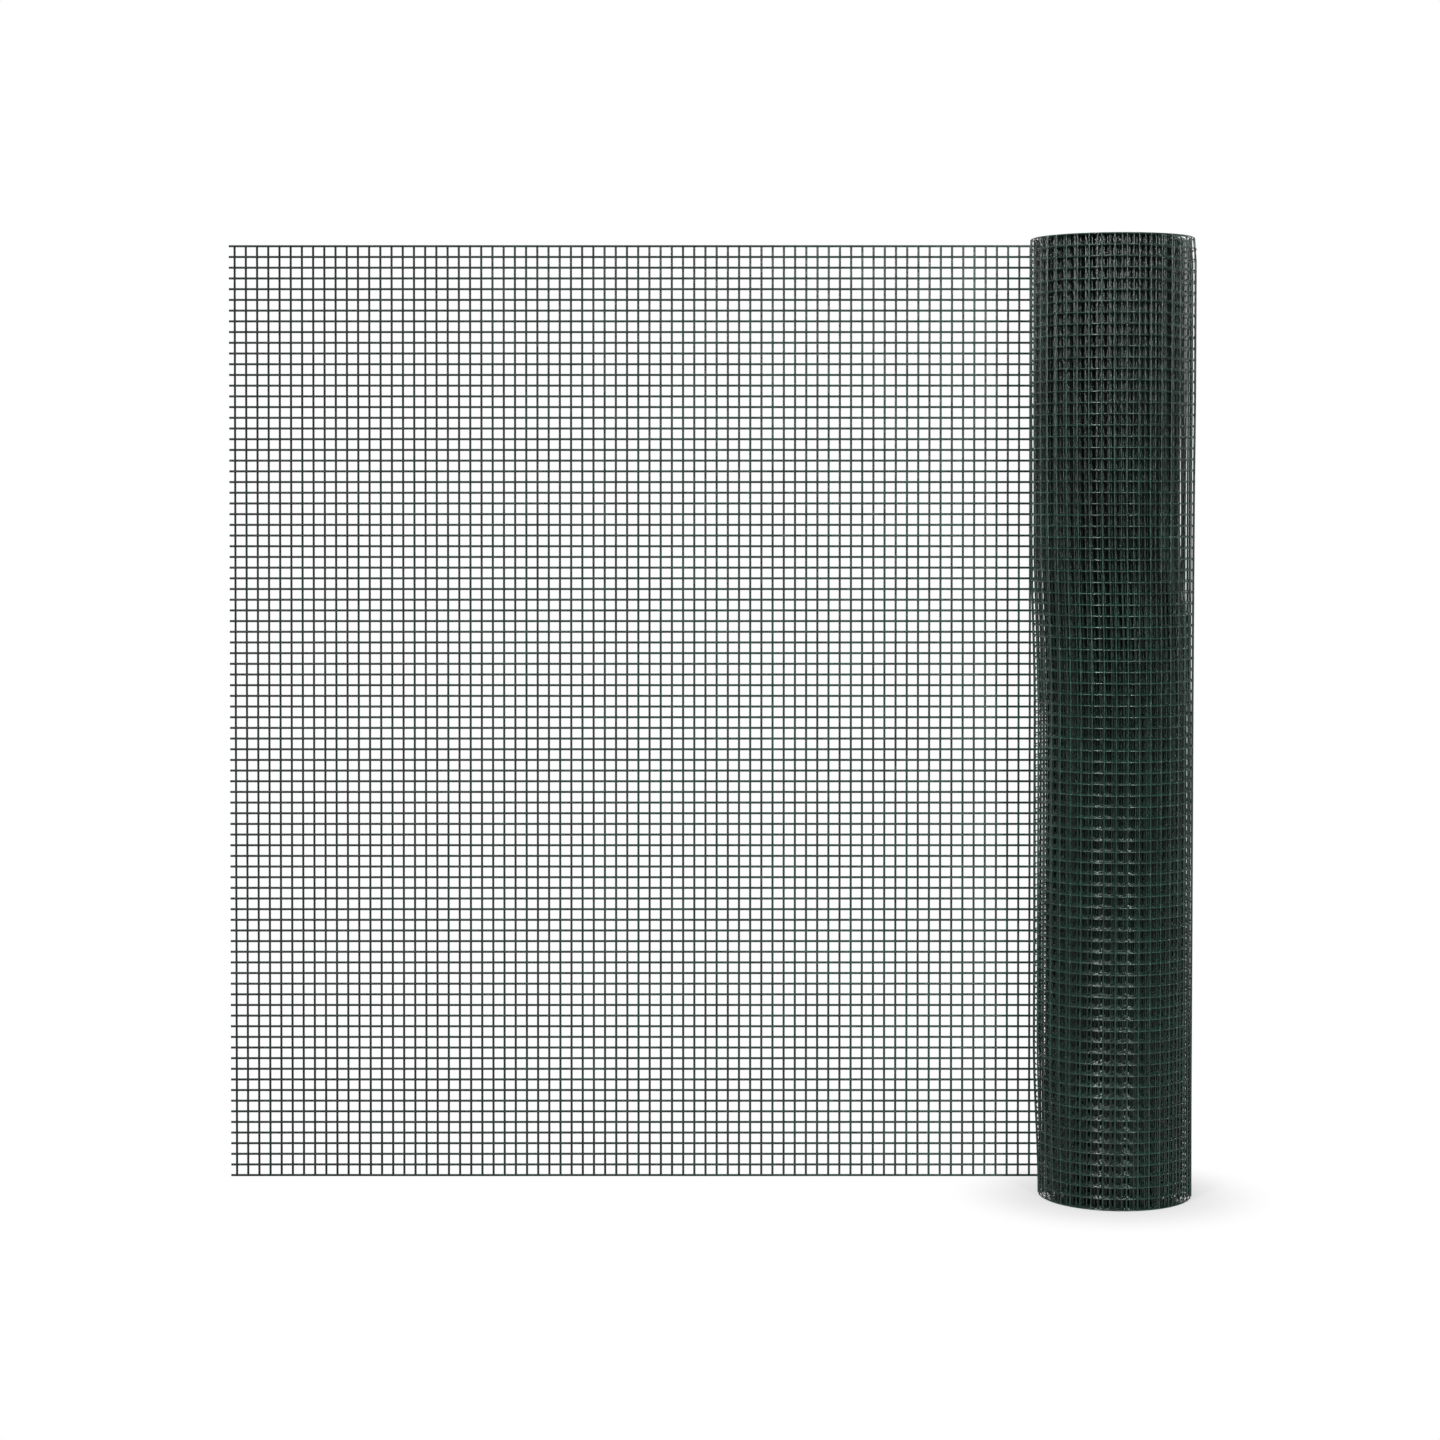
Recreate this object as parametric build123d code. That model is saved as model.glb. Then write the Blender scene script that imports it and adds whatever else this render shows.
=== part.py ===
"""Roll of coated welded wire mesh, stood on end with its outer end unrolled flat beside it.

Millimetres. +Z is up along the roll's axis, and the origin is on that axis at the floor.
The unrolled stretch leaves the back of the roll and runs flat towards -X.
"""

import os

from build123d import *

# The web: straight line wires (strands) with cross wires welded on their outer side, then coated.
web_height = 1000.0
core_diameter = 1.1
coat_thickness = 0.3
weld_sink = 0.3
cell_length = 12.0
strand_count = 88

# The wound roll: its turns lie tight at the foot and stand slightly slack at the head.
bore_diameter = 38.0
turn_count = 25
head_slack = 4.0
turn_groove_depth = 3.0

# The unrolled stretch, cut into bays along its length and tiers up its height.
bay_count = 6
columns_per_bay = 13
tier_names = ("foot", "middle", "head")
seat_clearance = 0.2

# Worked out from the sizes above.
wire_diameter = core_diameter + 2 * coat_thickness
layer_offset = core_diameter - weld_sink
web_thickness = wire_diameter + layer_offset
strand_pitch = (web_height - wire_diameter) / (strand_count - 1)
bay_length = columns_per_bay * cell_length
flat_length = bay_count * bay_length
bore_radius = bore_diameter / 2
foot_radius = bore_radius + turn_count * web_thickness
head_radius = foot_radius + head_slack
flat_face_y = head_radius + seat_clearance


def strand_height(index):
    """Height of a strand's centre, counted from the edge strand at the foot."""
    return wire_diameter / 2 + index * strand_pitch


def end_profile(outer_radius, end_height, inward):
    """Points across one end of the roll, bore to rim: a flat land for each turn's edge strand and
    a V between it and the next turn. The rim's last V is only its inner flank, a chamfer."""
    pitch = (outer_radius - bore_radius) / turn_count
    gap = pitch - wire_diameter
    points = []
    for turn in range(turn_count):
        land_start = bore_radius + turn * pitch
        land_end = land_start + wire_diameter
        points += [(land_start, end_height), (land_end, end_height)]
        if turn < turn_count - 1:
            points.append((land_end + gap / 2, end_height + inward * turn_groove_depth))
    points.append((outer_radius, end_height + inward * gap))
    return points


def wound_roll():
    """The turned roll with its bore and, on both ends, the edges of its turns."""
    foot = end_profile(foot_radius, 0, 1)
    head = end_profile(head_radius, web_height, -1)
    outline = Polyline(*foot, *reversed(head), close=True)
    return revolve(Plane.XZ * make_face(outline), Axis.Z)


def mesh_bay(first_strand, last_strand):
    """One bay of flat mesh between two strands, its wires fused where they cross.
    Strands run through the bay from end to end, half a cell past its outer cross wires."""
    foot_edge = first_strand == 0
    head_edge = last_strand == strand_count - 1
    low = 0 if foot_edge else strand_height(first_strand) - strand_pitch / 2
    high = web_height if head_edge else strand_height(last_strand) + strand_pitch / 2
    strand = Box(bay_length, wire_diameter, wire_diameter, align=(Align.MIN, Align.MIN, Align.CENTER))
    cross_wire = Box(wire_diameter, wire_diameter, high - low, align=(Align.CENTER, Align.MIN, Align.MIN))
    wires = [Pos(0, 0, strand_height(index)) * strand for index in range(first_strand, last_strand + 1)]
    for column in range(columns_per_bay):
        wires.append(Pos((column + 1 / 2) * cell_length, layer_offset, low) * cross_wire)
    return Part() + wires


def tier_strands():
    """First and last strand of each tier, shared out as evenly as the count allows."""
    edges = [round(strand_count * tier / len(tier_names)) for tier in range(len(tier_names) + 1)]
    return [(start, stop - 1) for start, stop in zip(edges, edges[1:])]


os.makedirs("parts", exist_ok=True)
export_step(wound_roll(), "parts/roll.step", write_pcurves=False)
for tier_name, (first_strand, last_strand) in zip(tier_names, tier_strands()):
    bay = mesh_bay(first_strand, last_strand)
    for number in range(bay_count):
        placed = Pos(-flat_length + number * bay_length, flat_face_y, 0) * bay
        file_name = f"parts/flat_mesh_bay_{number + 1}_{tier_name}.step"
        export_step(placed, file_name, write_pcurves=False)
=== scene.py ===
import math

import bpy
import numpy as np
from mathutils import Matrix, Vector


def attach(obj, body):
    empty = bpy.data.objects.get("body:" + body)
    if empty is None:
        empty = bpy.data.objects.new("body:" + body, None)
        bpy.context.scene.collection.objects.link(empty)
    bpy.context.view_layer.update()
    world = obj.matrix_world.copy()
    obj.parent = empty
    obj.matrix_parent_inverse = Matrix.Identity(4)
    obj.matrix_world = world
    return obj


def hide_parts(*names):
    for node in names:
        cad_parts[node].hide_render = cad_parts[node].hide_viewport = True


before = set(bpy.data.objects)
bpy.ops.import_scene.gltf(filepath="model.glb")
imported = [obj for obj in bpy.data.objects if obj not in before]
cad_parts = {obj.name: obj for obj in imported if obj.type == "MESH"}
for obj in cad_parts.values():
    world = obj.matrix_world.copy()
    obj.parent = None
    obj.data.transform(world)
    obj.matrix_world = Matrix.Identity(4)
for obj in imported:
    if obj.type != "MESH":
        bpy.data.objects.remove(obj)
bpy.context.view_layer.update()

# The unrolled stretch.
# One web of welded mesh: straight strands run along it, and cross wires are welded over them on the side
# that is the roll's outside. It is galvanised steel, dipped in green PVC after welding, so every wire has a
# smooth coat and every crossing a thin fillet of coat in its four corners.
MM = 0.001
WEB_HEIGHT = 1000 * MM
WIRE_DIAMETER = 1.7 * MM
FLAT_WIRE_DIAMETER = 2.4 * MM
LAYER_OFFSET = 0.8 * MM
CELL_LENGTH = 12 * MM
STRAND_COUNT = 88
FLAT_COLUMNS = 78
FLAT_LENGTH = FLAT_COLUMNS * CELL_LENGTH
FLAT_STRAND_Y = 86.55 * MM
FLAT_WAVE, FLAT_WAVE_LENGTH = 0.25 * MM, 310 * MM
FLAT_POINTS = 25
CUT_LENGTH = 0.3 * MM
ROUND_SIDES = 6
WELD_CORNERS = 8
WELD_ON_WIRE, WELD_IN_CELL = 1.15 * WIRE_DIAMETER, 0.9 * WIRE_DIAMETER
WELD_FACE_DEPTH = 0.49 * WIRE_DIAMETER
FULL_TURN = 2 * np.pi
COAT_GREENS = ("#14312a", "#23493f")
COAT_SCUFF = "#66766f"

strand_heights = np.linspace(FLAT_WIRE_DIAMETER / 2, WEB_HEIGHT - FLAT_WIRE_DIAMETER / 2, STRAND_COUNT)
flat_nodes = [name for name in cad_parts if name.startswith("flat_mesh_bay")]
axes = np.eye(3)


def linear(hex_colour):
    """An sRGB hex colour as linear red, green, blue and 1: a channel c is ((c + 0.055) / 1.055) to 2.4."""
    channels = np.array([int(hex_colour[i:i + 2], 16) for i in (1, 3, 5)]) / 255
    low = channels / 12.92
    return (*np.where(channels <= 0.04045, low, ((channels + 0.055) / 1.055) ** 2.4).tolist(), 1.0)


def add_node(tree, kind, settings=None, inputs=None, links=None):
    """Adds one node to a tree: settings are its own properties, inputs its socket values by name or number,
    and links the output sockets that feed its inputs."""
    node = tree.nodes.new(kind)
    for name, value in (settings or {}).items():
        setattr(node, name, value)
    for name, value in (inputs or {}).items():
        node.inputs[name].default_value = value
    for name, socket in (links or {}).items():
        tree.links.new(socket, node.inputs[name])
    return node


def noise(tree, place, size, detail):
    """Noise at a place, with grains of a real size."""
    return add_node(tree, "ShaderNodeTexNoise", inputs={"Scale": 1 / size, "Detail": detail},
                    links={"Vector": place}).outputs["Fac"]


def map_range(tree, value, span, result=(0.0, 1.0), curve="LINEAR"):
    """A value brought from one span to another, and held at both ends."""
    ends = {"From Min": span[0], "From Max": span[1], "To Min": result[0], "To Max": result[1]}
    node = add_node(tree, "ShaderNodeMapRange", {"interpolation_type": curve}, ends, {"Value": value})
    return node.outputs[0]


def combine(tree, operation, first, second):
    """Two values made one, by an operation such as MULTIPLY or MAXIMUM."""
    return add_node(tree, "ShaderNodeMath", {"operation": operation}, links={0: first, 1: second}).outputs[0]


def pvc_coat(name, greens, scuffed, roughness, skin):
    """Dipped PVC on galvanised wire: a thick soft plastic skin, dark green and half glossy. The eye sees a
    dull sheen along each wire, slow changes of green where the dip ran thick or thin, and grey scuffs from
    handling. greens are the deep and the thin coat's colours, scuffed is the share of grey in the worst
    scuffs, roughness goes from the smoothest to the dullest spots, and skin is the weight of the clear gloss
    that an unworn dip has."""
    patch, mottle, scuff, ripple = 60 * MM, 7 * MM, 9 * MM, 2.5 * MM
    thin_span, scuff_span, dull_span = (0.14, 0.38), (0.60, 0.80), (0.3, 0.7)
    ripple_depth, ripple_strength = 0.1 * MM, 0.25
    sheen, skin_roughness = 0.9, 0.2
    material = bpy.data.materials.new(name)
    material.use_nodes = True
    tree = material.node_tree
    shader = tree.nodes["Principled BSDF"]
    place = add_node(tree, "ShaderNodeTexCoord").outputs["Object"]
    mottles = noise(tree, place, mottle, 3.0)
    thin = map_range(tree, combine(tree, "MULTIPLY", noise(tree, place, patch, 2.0), mottles), thin_span)
    green = add_node(tree, "ShaderNodeMix", {"data_type": "RGBA"},
                     {6: linear(greens[0]), 7: linear(greens[1])}, {0: thin})
    worn = map_range(tree, noise(tree, place, scuff, 4.0), scuff_span, (0.0, scuffed))
    colour = add_node(tree, "ShaderNodeMix", {"data_type": "RGBA"}, {7: linear(COAT_SCUFF)},
                      {0: worn, 6: green.outputs[2]})
    bump = add_node(tree, "ShaderNodeBump", inputs={"Strength": ripple_strength, "Distance": ripple_depth},
                    links={"Height": noise(tree, place, ripple, 1.0)})
    shader.inputs["Specular IOR Level"].default_value = sheen
    shader.inputs["Coat Weight"].default_value = skin
    shader.inputs["Coat Roughness"].default_value = skin_roughness
    tree.links.new(colour.outputs[2], shader.inputs["Base Color"])
    tree.links.new(map_range(tree, mottles, dull_span, roughness), shader.inputs["Roughness"])
    tree.links.new(bump.outputs[0], shader.inputs["Normal"])
    return material


def tubes(centres, out, across, sides, radius):
    """Wires as tubes: a regular polygon carried along each wire's centre line.
    A corner is centre + radius * (cos a * out + sin a * across), for a in equal steps from a quarter turn,
    so that a wire shows its full width from outside. centres is (wires, points, 3), and out and across are
    unit vectors that fit it. Gives corners and four-sided faces."""
    out, across = np.broadcast_to(out, centres.shape), np.broadcast_to(across, centres.shape)
    turn = FULL_TURN / 4 + np.arange(sides) * FULL_TURN / sides
    ring = np.cos(turn)[:, None] * out[..., None, :] + np.sin(turn)[:, None] * across[..., None, :]
    radius = np.broadcast_to(radius, centres.shape[:-1])[..., None, None]
    corners = centres[..., None, :] + radius * ring
    index = np.arange(corners.size // 3).reshape(corners.shape[:-1])
    after = np.roll(index, -1, axis=2)
    walls = np.stack([index[:, :-1], after[:, :-1], after[:, 1:], index[:, 1:]], -1)
    fan = np.array([(0, k, k + 1, k + 2) for k in range(1, sides - 2, 2)])
    caps = [index[:, 0][:, fan[:, ::-1]], index[:, -1][:, fan]]
    faces = np.concatenate([part.reshape(-1, 4) for part in (walls, *caps)])
    return corners.reshape(-1, 3), faces


def weld_coats(centres, out, along):
    """The coat at each weld: a flat lens with eight rim corners between the two wires, pointed on both
    faces. Rim corners on the wires reach further than those in the open corners of the cells, and none stands
    past the middle of the edge strands. centres is (n, 3), on the strand's centre line. Gives corners and
    triangles."""
    out, along = np.broadcast_to(out, centres.shape), np.broadcast_to(along, centres.shape)
    first = np.arange(WELD_CORNERS)
    turn = first * FULL_TURN / WELD_CORNERS
    reach = np.where(first % 2 == 0, WELD_ON_WIRE, WELD_IN_CELL)
    rim = (reach * np.cos(turn))[:, None] * along[:, None, :] + (reach * np.sin(turn))[:, None] * axes[2]
    rim = rim + (centres + LAYER_OFFSET / 2 * out)[:, None, :]
    back = centres - WELD_FACE_DEPTH * out
    front = centres + (LAYER_OFFSET + WELD_FACE_DEPTH) * out
    corners = np.concatenate([rim, back[:, None, :], front[:, None, :]], 1)
    corners[..., 2] = np.clip(corners[..., 2], strand_heights[0], strand_heights[-1])
    after = np.roll(first, -1)
    back_faces = np.stack([first, after, np.full(WELD_CORNERS, WELD_CORNERS)], 1)
    front_faces = np.stack([after, first, np.full(WELD_CORNERS, WELD_CORNERS + 1)], 1)
    starts = np.arange(len(centres)) * corners.shape[1]
    faces = np.concatenate([back_faces, front_faces]) + starts[:, None, None]
    return corners.reshape(-1, 3), faces.reshape(-1, 3)


def new_piece(name, parts, material):
    """One mesh object from several arrays of corners and faces, at the origin, shaded smooth."""
    mesh = bpy.data.meshes.new(name)
    offsets = np.cumsum([0] + [len(corners) for corners, _ in parts])
    corners = np.concatenate([part[0] for part in parts])
    loops = np.concatenate([(faces + offset).ravel() for (_, faces), offset in zip(parts, offsets)])
    widths = np.concatenate([np.full(len(faces), faces.shape[1]) for _, faces in parts])
    mesh.vertices.add(len(corners))
    mesh.vertices.foreach_set("co", corners.astype(np.float32).ravel())
    mesh.loops.add(len(loops))
    mesh.loops.foreach_set("vertex_index", loops.astype(np.int32))
    mesh.polygons.add(len(widths))
    mesh.polygons.foreach_set("loop_start", (np.cumsum(widths) - widths).astype(np.int32))
    mesh.polygons.foreach_set("use_smooth", np.ones(len(widths), bool))
    mesh.update(calc_edges=True)
    mesh.materials.append(material)
    piece = bpy.data.objects.new(name, mesh)
    bpy.context.scene.collection.objects.link(piece)
    return piece


def wire_points(first, last, count, cut=CUT_LENGTH):
    """Places along a wire: equal steps, and one more point just inside each cut end, so that the rounded
    shading of the cut ends there and does not run along the wire."""
    points = np.linspace(first, last, count)
    return np.sort(np.concatenate([points, [first + cut, last - cut]]))


def flat_web(x, z, lift):
    """Points of the unrolled web: the plane y = its seat behind the roll, with waves a quarter millimetre
    high. The waves die out towards the roll."""
    fade = np.clip(-x / FLAT_LENGTH, 0, 1)
    wave = FLAT_WAVE * fade * np.sin(FULL_TURN * x / FLAT_WAVE_LENGTH) * np.cos(FULL_TURN * z / WEB_HEIGHT)
    return np.stack(np.broadcast_arrays(x, FLAT_STRAND_Y + lift + wave, z), -1)


coat = pvc_coat("dipped_pvc_coat", COAT_GREENS, scuffed=0.5, roughness=(0.22, 0.36), skin=0.0)
flat_x = wire_points(-FLAT_LENGTH, 0, FLAT_POINTS)
flat_z = wire_points(0, WEB_HEIGHT, FLAT_POINTS)
column_x = -FLAT_LENGTH + (np.arange(FLAT_COLUMNS) + 0.5) * CELL_LENGTH
flat_strands = flat_web(flat_x[None, :], strand_heights[:, None], 0)
flat_crosses = flat_web(column_x[:, None], flat_z[None, :], LAYER_OFFSET)
flat_welds = flat_web(column_x[:, None], strand_heights[None, :], 0).reshape(-1, 3)
unrolled = new_piece("unrolled_mesh", [
    tubes(flat_strands, axes[1], axes[2], ROUND_SIDES, FLAT_WIRE_DIAMETER / 2),
    tubes(flat_crosses, axes[1], -axes[0], ROUND_SIDES, FLAT_WIRE_DIAMETER / 2),
    weld_coats(flat_welds, axes[1], axes[0]),
], coat)
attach(unrolled, "root")
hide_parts(*flat_nodes)

# The cut ends of the strands.
# The web was cut off half a cell before its first cross wire, after it was coated, so the steel core shows
# as a bright spot in the end of every strand. The cutter leaves the core a hair proud of the coat.
CORE_RADIUS = 0.55 * MM
CORE_PROUD = 0.12 * MM
CORE_HIDDEN = 0.6 * MM
CUT_STEEL, CUT_STEEL_DARK = "#9a9c9b", "#6d7072"


def galvanised_steel(name):
    """Galvanised wire where it was cut: grey steel with a torn grain. The grain's high spots are lighter
    and duller than its valleys."""
    grain, roughness = 0.4 * MM, (0.3, 0.55)
    material = bpy.data.materials.new(name)
    material.use_nodes = True
    tree = material.node_tree
    shader = tree.nodes["Principled BSDF"]
    torn = noise(tree, add_node(tree, "ShaderNodeTexCoord").outputs["Object"], grain, 2.0)
    colour = add_node(tree, "ShaderNodeMix", {"data_type": "RGBA"},
                      {6: linear(CUT_STEEL_DARK), 7: linear(CUT_STEEL)}, {0: torn})
    shader.inputs["Metallic"].default_value = 1.0
    tree.links.new(colour.outputs[2], shader.inputs["Base Color"])
    tree.links.new(map_range(tree, torn, (0.0, 1.0), roughness), shader.inputs["Roughness"])
    return material


end_x = np.array([-FLAT_LENGTH - CORE_PROUD, -FLAT_LENGTH + CORE_HIDDEN])
cores = flat_web(end_x[None, :], strand_heights[:, None], 0)
cut_ends = new_piece("cut_wire_cores", [tubes(cores, axes[1], axes[2], ROUND_SIDES, CORE_RADIUS)],
                     galvanised_steel("cut_galvanised_steel"))
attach(cut_ends, "root")

# The outer turn of the roll.
# The same web goes on from the back of the roll, round to the right, and winds inwards. Nothing ties it. At
# the foot it is tight. At the head the first turns have sprung open, and the rest leans left inside them.
# Turns count from the back, and shares are of the web's height.
ROLL_TURNS, OUTER_TURNS, MIDDLE_TURNS = 25, 1, 7
FOOT_STRAND_RADIUS = 79.85 * MM
BORE_STRAND_RADIUS = 19.85 * MM
TURN_PITCH = (FOOT_STRAND_RADIUS - BORE_STRAND_RADIUS) / ROLL_TURNS
OUTER_WIRE_DIAMETER, INNER_WIRE_DIAMETER = 1.3 * MM, 1.2 * MM
THIN_TURNS, THINNER_TURNS, THICK_TURNS = (0, 0.2), (0.9, 1.2), (4, 6)
SPRING_BACK = FLAT_STRAND_Y - FOOT_STRAND_RADIUS
FOOT_HOLD_TURNS, HEAD_HOLD_TURNS = 0.13, 3.4
SPRING_NEAR_PART = 0.25
LOOSE_SHARES = (0.50, 0.85)
LEFT_BULGE = 5.6 * MM
BULGE_PLACE, BULGE_WIDTH, BULGE_TURNS = 0.75, 0.14, (0.7, 3.6)
BULGE_RISE_SHARES, BULGE_FALL_SHARES, BULGE_LOSS_PART = (0, 0.16), (0.62, 0.80), 0.6
RIM_TUCK = 2.5 * MM
TUCK_PLACE, TUCK_WIDTH, TUCK_SHARES = 0.22, 0.09, (0.984, 1.0)
TURN_WOBBLE = 0.22 * MM
WOBBLE_TURNS, WOBBLE_WAVES, WAVES_IN_STEP = (0, 0.3), 7, 3
FOOT_SHIFT, WAIST_SHIFT = 2.0 * MM, 2.6 * MM
BOW_TURNS, BOW_RISE_SHARES, BOW_FALL_SHARES = (0, 0.2), (0, 0.5), (0.52, 0.80)
HEAD_LEAN = 5.0 * MM
LEAN_SHARES = (0.50, 0.66)
TURN_CLIMB = 0.45 * MM
CLIMB_TURNS, CLIMB_SHARES = 6, (0, 0.05)
WEB_SLIP, WEB_SKEW = 2.5 * MM, 3.0 * MM
SLIP_TURNS, SLIP_WAVES, SKEW_PIVOT_SHARE = (0.8, 1.6), 3, 0.3
WELD_SLIP, WELD_SHUFFLE = 0.25 * MM, 997
OUTER_POINTS = 41
WOBBLE_SEED, SLIP_SEED = 12, 225

# A wobble wave has its count to a turn, its count to the web's height and its start. A slip wave has a
# count to a turn and a start for the slip, and then both for the skew.
wobble_waves = np.random.default_rng(WOBBLE_SEED).uniform(
    (0.6, 0.5, 0.0), (3.4, 3.0, FULL_TURN), (WOBBLE_WAVES, 3))
slip_waves = np.random.default_rng(SLIP_SEED).uniform(
    (0.2, 0.0, 0.2, 0.0), (0.95, FULL_TURN, 0.95, FULL_TURN), (SLIP_WAVES, 4))


def angle_at(travel):
    """Angle round the roll after some length of wound web. The spiral's radius is R - p a / 2 pi, so the
    length is R a - p a squared / 4 pi, and this is that formula turned round."""
    root = np.sqrt(FOOT_STRAND_RADIUS ** 2 - TURN_PITCH * travel / np.pi)
    return (FOOT_STRAND_RADIUS - root) * FULL_TURN / TURN_PITCH


def smooth_step(value, low, high):
    """0 below low, 1 above high, and 3 s squared - 2 s cubed between them."""
    share = np.clip((value - low) / (high - low), 0, 1)
    return share * share * (3 - 2 * share)


def strand_radius(angle, height):
    """Radius of the web at an angle and height: the tight spiral, plus what the first turns stand off from
    it, plus a slight wobble of every turn. The stand-off dies out as exp(-(turns / hold) squared) at the
    foot, and mostly as a smooth step over more turns at the head. The first turns also bulge on their left
    side, and the top edge of the outer one is tucked in on the right."""
    turns = angle / FULL_TURN
    share = height / WEB_HEIGHT
    loose = smooth_step(share, *LOOSE_SHARES)
    near = np.exp(-(turns / FOOT_HOLD_TURNS) ** 2)
    far = 1 - smooth_step(turns, 0, HEAD_HOLD_TURNS)
    sprung = SPRING_NEAR_PART * near + (1 - SPRING_NEAR_PART) * far
    spring = SPRING_BACK * ((1 - loose) * near + loose * sprung)
    bulge = LEFT_BULGE * np.exp(-((turns % 1 - BULGE_PLACE) / BULGE_WIDTH) ** 2)
    bulge = bulge * (1 - smooth_step(turns, *BULGE_TURNS)) * smooth_step(share, *BULGE_RISE_SHARES)
    bulge = bulge * (1 - BULGE_LOSS_PART * smooth_step(share, *BULGE_FALL_SHARES))
    tuck = RIM_TUCK * np.exp(-((turns - TUCK_PLACE) / TUCK_WIDTH) ** 2) * smooth_step(share, *TUCK_SHARES)
    waves = sum(np.sin(FULL_TURN * (a * turns + b * share) + c) for a, b, c in wobble_waves)
    wobble = TURN_WOBBLE * smooth_step(turns, *WOBBLE_TURNS) * waves / WAVES_IN_STEP
    return FOOT_STRAND_RADIUS - TURN_PITCH * turns + spring + bulge - tuck + wobble


def wound_web(angle, height, lift):
    """Points of the wound web, with the unit vectors out of the roll and along the web there.
    The angle counts clockwise from the back, seen from above: x = r sin a, y = r cos a. The roll bows a
    little to the right below its middle, and inside the sprung turns it leans to the left at its head.
    Inside the outer turn the web climbs a little with each turn, most near the foot and not at all on the
    floor."""
    angle, height = np.broadcast_arrays(angle, height)
    radius = strand_radius(angle, height) + lift
    zero = np.zeros_like(angle)
    out = np.stack([np.sin(angle), np.cos(angle), zero], -1)
    along = np.stack([np.cos(angle), -np.sin(angle), zero], -1)
    turns, share = angle / FULL_TURN, height / WEB_HEIGHT
    bow = FOOT_SHIFT + (WAIST_SHIFT - FOOT_SHIFT) * smooth_step(share, *BOW_RISE_SHARES)
    bow = bow * (1 - smooth_step(share, *BOW_FALL_SHARES)) * smooth_step(turns, *BOW_TURNS)
    shift = bow - HEAD_LEAN * smooth_step(share, *LEAN_SHARES) * smooth_step(turns, 0, HEAD_HOLD_TURNS)
    climb = TURN_CLIMB * np.clip(turns - OUTER_TURNS, 0, CLIMB_TURNS)
    rise = height + climb * (1 - share) * smooth_step(share, *CLIMB_SHARES)
    return radius[..., None] * out + rise[..., None] * axes[2] + shift[..., None] * axes[0], out, along


def wound_wire_radius(angle):
    """Radius of a wound wire. The photo shows these wires thinner than the flat ones, so they thin at the
    start of the first turn and again after it. Deep inside they are thicker, which closes the roll to the
    view."""
    turns = angle / FULL_TURN
    first = (FLAT_WIRE_DIAMETER - OUTER_WIRE_DIAMETER) * smooth_step(turns, *THIN_TURNS)
    second = (OUTER_WIRE_DIAMETER - INNER_WIRE_DIAMETER) * smooth_step(turns, *THINNER_TURNS)
    deep = (WIRE_DIAMETER - INNER_WIRE_DIAMETER) * smooth_step(turns, *THICK_TURNS)
    return (FLAT_WIRE_DIAMETER - first - second + deep) / 2


def wound_strands(angles, heights, sides):
    """Strands at some heights, through some angles, as tubes."""
    centres, out, _ = wound_web(angles[None, :], heights[:, None], 0)
    return tubes(centres, out, axes[2], sides, wound_wire_radius(angles)[None, :])


def cross_wire_angles(angles, heights):
    """Angles of cross wires at some heights. Each is welded a little off its place. The inner web has also
    slipped along and is not quite square, so its wires lean by a few millimetres from foot to head: both are
    sums of sines of the turns."""
    turns = angles / FULL_TURN
    inside = smooth_step(turns, *SLIP_TURNS)
    slip = WEB_SLIP * inside * sum(np.sin(FULL_TURN * a * turns + b) for a, b, _, _ in slip_waves)
    skew = WEB_SKEW * inside * sum(np.sin(FULL_TURN * c * turns + d) for _, _, c, d in slip_waves)
    slip = slip + WELD_SLIP * np.sin(WELD_SHUFFLE * angles)
    lean = skew[:, None] * (heights / WEB_HEIGHT - SKEW_PIVOT_SHARE)
    return angles[:, None] + (lean + slip[:, None]) / FOOT_STRAND_RADIUS


def wound_crosses(angles, heights, sides):
    """Cross wires at some angles, bent through points at some heights, as tubes."""
    centres, out, along = wound_web(cross_wire_angles(angles, heights), heights[None, :], LAYER_OFFSET)
    return tubes(centres, out, -along, sides, wound_wire_radius(angles)[:, None])


wound_length = np.pi * (FOOT_STRAND_RADIUS ** 2 - BORE_STRAND_RADIUS ** 2) / TURN_PITCH
cross_angles = angle_at(np.arange(CELL_LENGTH / 2, wound_length, CELL_LENGTH))
cut_angle = CUT_LENGTH / FOOT_STRAND_RADIUS
rim_heights = strand_heights[0], strand_heights[-1]
outer_end = OUTER_TURNS * FULL_TURN
outer_crosses = cross_angles[cross_angles < outer_end]
outer_angles = wire_points(0, outer_end, len(outer_crosses) + 1, cut_angle)
outer_turns = new_piece("outer_turns", [
    wound_strands(outer_angles, strand_heights, ROUND_SIDES),
    wound_crosses(outer_crosses, wire_points(*rim_heights, OUTER_POINTS), ROUND_SIDES),
], coat)
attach(outer_turns, "root")
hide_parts("roll")

weld_angles = cross_wire_angles(outer_crosses, strand_heights)
welds = [part.reshape(-1, 3) for part in wound_web(weld_angles, strand_heights[None, :], 0)]
outer_welds = new_piece("outer_turn_welds", [weld_coats(*welds)], coat)
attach(outer_welds, "root")

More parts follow.
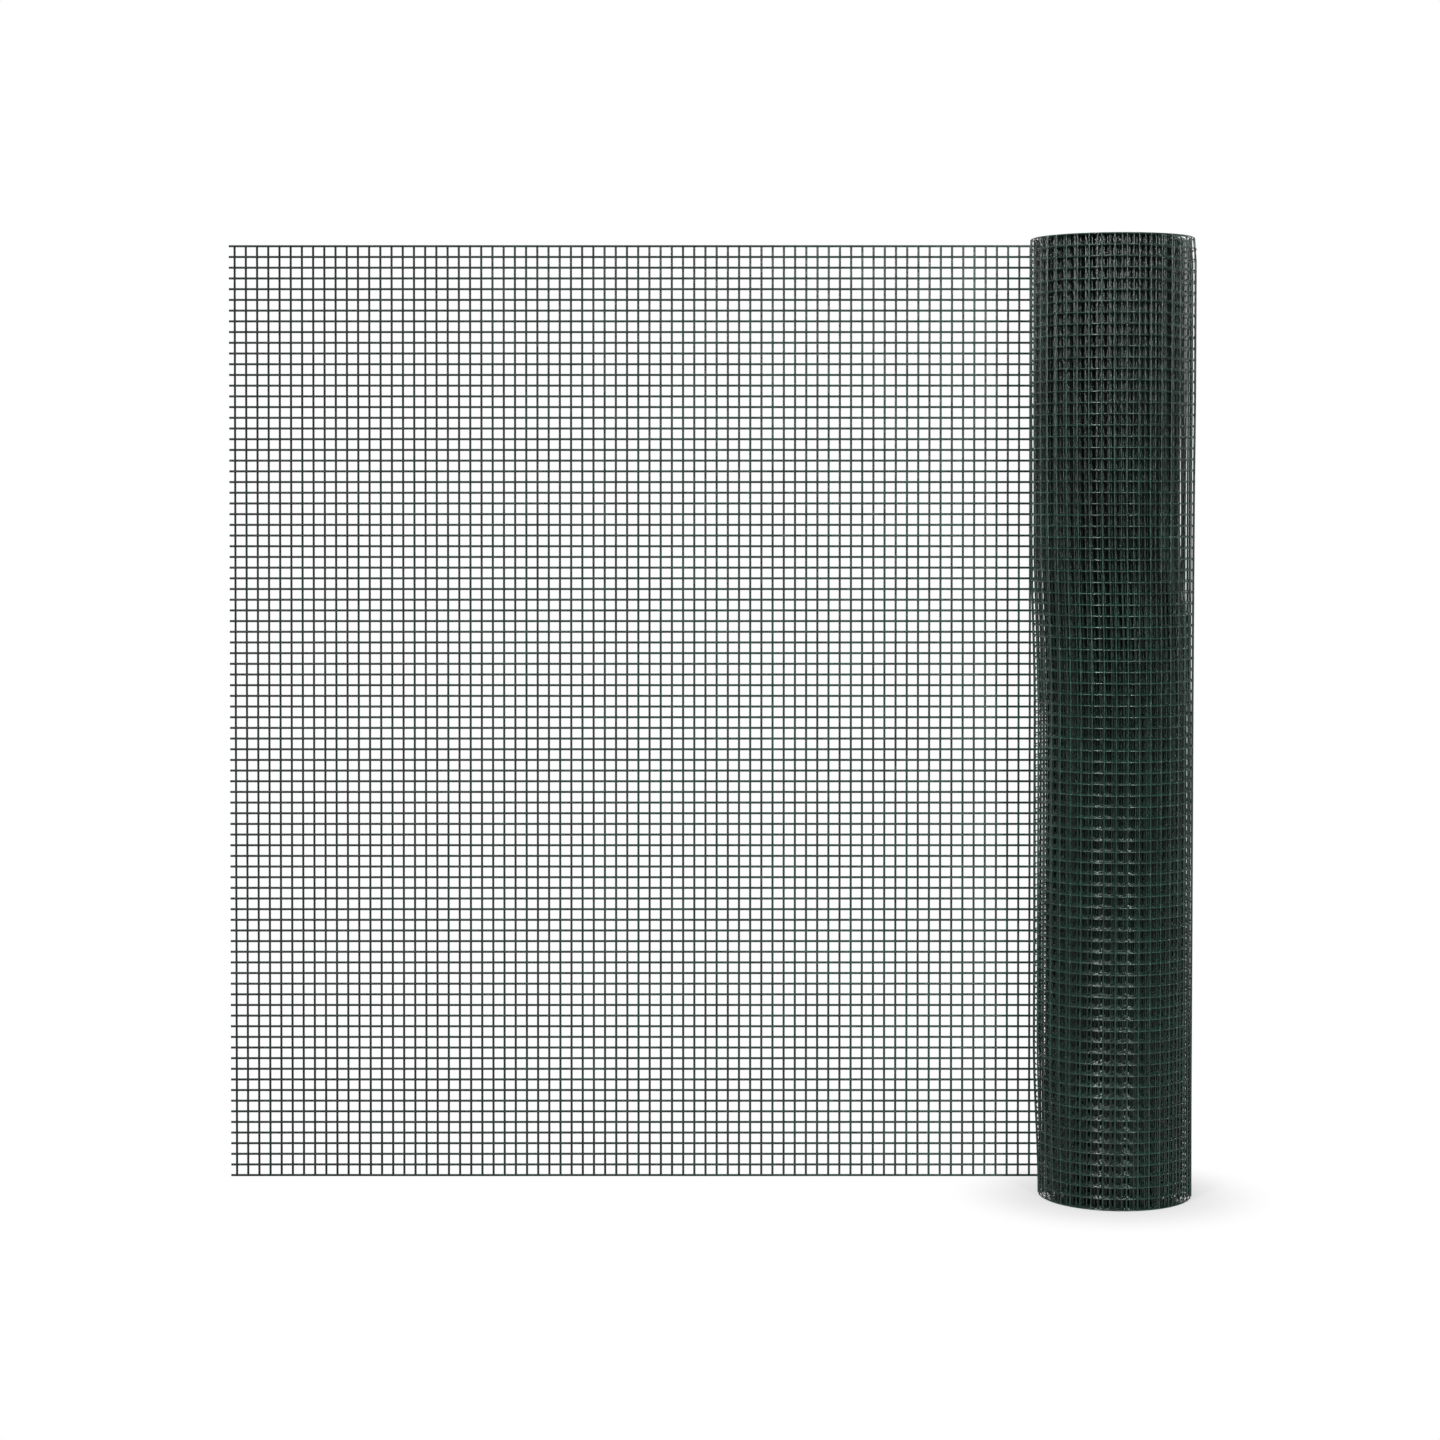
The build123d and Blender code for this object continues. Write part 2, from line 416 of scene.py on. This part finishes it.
# The middle turns of the roll.
# Seven turns that show between the wires of the outer one. Their coat keeps the gloss of the dip, with faint
# scuffs, and its green is painted darker as shade, because little light gets down to them.
PAINTED_SHADE_GREENS = ("#0c271f", "#17382f")
HIDDEN_SIDES = 4
MIDDLE_POINTS = 13
MIDDLE_ANGLES_PER_TURN = 32
middle_end = outer_end + MIDDLE_TURNS * FULL_TURN
middle_crosses = cross_angles[(cross_angles >= outer_end) & (cross_angles < middle_end)]
middle_angles = wire_points(outer_end, middle_end, MIDDLE_TURNS * MIDDLE_ANGLES_PER_TURN + 1, cut_angle)
# Painted shade: the middle and inner turns use a darker copy of the coat, for the shade inside the roll.
inner_coat_painted_shade = pvc_coat("glossy_pvc_coat_with_painted_shade", PAINTED_SHADE_GREENS, scuffed=0.15, roughness=(0.22, 0.38),
                      skin=1.0)
middle_turns = new_piece("middle_turns", [
    wound_strands(middle_angles, strand_heights, HIDDEN_SIDES),
    wound_crosses(middle_crosses, wire_points(*rim_heights, MIDDLE_POINTS), HIDDEN_SIDES),
], inner_coat_painted_shade)
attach(middle_turns, "root")

# The inner turns of the roll.
# The rest of the web, down to its inner end at the bore. Cross wires run the full height. Strands are there
# near both ends, where they show, and over the full height on the two turns that line the bore.
INNER_ANGLES_PER_TURN = 24
BORE_TURNS = 2
SHOWN_STRANDS = 14
INNER_POINTS = 9
inner_end = ROLL_TURNS * FULL_TURN
bore_start = inner_end - BORE_TURNS * FULL_TURN
inner_crosses = cross_angles[cross_angles >= middle_end]
inner_steps = (ROLL_TURNS - OUTER_TURNS - MIDDLE_TURNS - BORE_TURNS) * INNER_ANGLES_PER_TURN
inner_angles = np.linspace(middle_end, bore_start, inner_steps + 1)
bore_angles = np.linspace(bore_start, inner_end, BORE_TURNS * INNER_ANGLES_PER_TURN + 1)
end_heights = np.concatenate([strand_heights[:SHOWN_STRANDS], strand_heights[-SHOWN_STRANDS:]])
# Painted shade: these turns use the same darker coat as the middle turns.
inner_turns = new_piece("inner_turns", [
    wound_strands(inner_angles, end_heights, HIDDEN_SIDES),
    wound_strands(bore_angles, strand_heights, HIDDEN_SIDES),
    wound_crosses(inner_crosses, wire_points(*rim_heights, INNER_POINTS), HIDDEN_SIDES),
], inner_coat_painted_shade)
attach(inner_turns, "root")

# The floor and the light.
# A pale studio floor that turns pure white away from the roll's shadow, in a white surround that is
# brightest behind the object on the left. Two strip boxes stand either side of the camera, and one large
# soft box hangs high at the front left.
FLOOR_REACH = 30.0
FLOOR_WHITE, FLOOR_ROUGHNESS = "#e6e6e4", 0.9
FLOOR_BEHIND = (0.2, 1.5)
SHADOW_REACH, SHADOW_WHITE = (0.06, 0.18), (0.6, 1.0)
ROOM_LIGHT, BACKDROP_LIGHT = 0.16, 0.5
BACKDROP_SIDE = (-0.5, 0.866, 0.0)
BACKDROP_MIRRORED, BACKDROP_LIT = (0.6, 1.0), (0.0, 0.8)


def seen_white(tree, behind):
    """Share of pure white that a ray sees: all of it for rays from the camera or through a clear thing, and
    for mirrored rays as much as they run to what stands behind the object."""
    rays = add_node(tree, "ShaderNodeLightPath").outputs
    mirrored = combine(tree, "MULTIPLY", rays["Is Glossy Ray"], behind)
    direct = combine(tree, "MAXIMUM", rays["Is Camera Ray"], rays["Is Transmission Ray"])
    return combine(tree, "MAXIMUM", direct, mirrored)


floor_paint = bpy.data.materials.new("matt_white_floor_paint")
floor_paint.use_nodes = True
floor_tree = floor_paint.node_tree
floor_shader = floor_tree.nodes["Principled BSDF"]
floor_shader.inputs["Base Color"].default_value = linear(FLOOR_WHITE)
floor_shader.inputs["Roughness"].default_value = FLOOR_ROUGHNESS
floor_shader.inputs["Specular IOR Level"].default_value = 0.0
floor_place = add_node(floor_tree, "ShaderNodeTexCoord").outputs["Object"]
floor_y = add_node(floor_tree, "ShaderNodeSeparateXYZ", links={0: floor_place}).outputs["Y"]
floor_reach = add_node(floor_tree, "ShaderNodeVectorMath", {"operation": "LENGTH"},
                       links={0: floor_place}).outputs["Value"]
floor_seen = seen_white(floor_tree, map_range(floor_tree, floor_y, FLOOR_BEHIND, curve="SMOOTHSTEP"))
floor_fade = map_range(floor_tree, floor_reach, SHADOW_REACH, SHADOW_WHITE, "SMOOTHSTEP")
floor_white = add_node(floor_tree, "ShaderNodeEmission", inputs={"Strength": 1.0})
floor_mixed = add_node(floor_tree, "ShaderNodeMixShader", links={
    0: combine(floor_tree, "MULTIPLY", floor_seen, floor_fade),
    1: floor_shader.outputs[0],
    2: floor_white.outputs[0],
})
floor_tree.links.new(floor_mixed.outputs[0], floor_tree.nodes["Material Output"].inputs["Surface"])
floor_corners = FLOOR_REACH * np.array([(-1, -1, 0), (1, -1, 0), (1, 1, 0), (-1, 1, 0)], float)
floor = new_piece("studio_floor", [(floor_corners, np.array([[0, 1, 2, 3]]))], floor_paint)

surround = bpy.data.worlds.new("white_surround")
bpy.context.scene.world = surround
surround.use_nodes = True
sky = surround.node_tree
sky_place = add_node(sky, "ShaderNodeTexCoord").outputs["Generated"]
sky_side = add_node(sky, "ShaderNodeVectorMath", {"operation": "DOT_PRODUCT"}, {1: BACKDROP_SIDE},
                    {0: sky_place}).outputs["Value"]
sky_seen = seen_white(sky, map_range(sky, sky_side, BACKDROP_MIRRORED, curve="SMOOTHSTEP"))
sky_light = map_range(sky, sky_side, BACKDROP_LIT, (ROOM_LIGHT, BACKDROP_LIGHT), "SMOOTHSTEP")
sky.nodes["Background"].inputs["Color"].default_value = (1, 1, 1, 1)
sky.links.new(combine(sky, "MAXIMUM", sky_seen, sky_light), sky.nodes["Background"].inputs["Strength"])


def soft_lamp(name, place, aim, size, watts, spread):
    """A rectangular soft box at a place, turned to face a point. A spread below 180 degrees narrows its
    beam, as a grid in front of the box does."""
    lamp = bpy.data.lights.new(name, "AREA")
    lamp.shape = "RECTANGLE"
    lamp.size, lamp.size_y = size
    lamp.energy = watts
    lamp.spread = math.radians(spread)
    holder = bpy.data.objects.new(name, lamp)
    holder.location = place
    holder.rotation_euler = (Vector(aim) - Vector(place)).to_track_quat("-Z", "Y").to_euler()
    bpy.context.scene.collection.objects.link(holder)


STRIP_AIM, STRIP_SIZE, STRIP_SPREAD = (0.35, 0, 0.50), (0.35, 0.7), 45
soft_lamp("left_strip_box", (-1.50, -2.60, 1.55), STRIP_AIM, STRIP_SIZE, watts=3.2, spread=STRIP_SPREAD)
soft_lamp("right_strip_box", (0.80, -2.89, 1.55), STRIP_AIM, STRIP_SIZE, watts=3.5, spread=STRIP_SPREAD)
soft_lamp("high_soft_box", (-1.2, -2.5, 2.2), aim=(0.4, 0, 0.45), size=(1.4, 0.8), watts=3.6, spread=60)

# The camera.
# It stands square to the unrolled stretch, above the middle of the web, and looks slightly down.
CAMERA_PLACE = (-0.4104, -3.2, 0.731)
CAMERA_TILT = 1.0
CAMERA_SENSOR, CAMERA_LENS = 36, 76.66
CAMERA_SHIFT_Y = -0.118
camera = bpy.data.cameras.new("photo_camera")
camera.sensor_width = CAMERA_SENSOR
camera.lens = CAMERA_LENS
camera.shift_y = CAMERA_SHIFT_Y
viewer = bpy.data.objects.new("photo_camera", camera)
viewer.location = CAMERA_PLACE
viewer.rotation_euler = (math.radians(90 - CAMERA_TILT), 0, 0)
bpy.context.scene.collection.objects.link(viewer)
bpy.context.scene.camera = viewer
bpy.context.scene.view_settings.view_transform = "Standard"
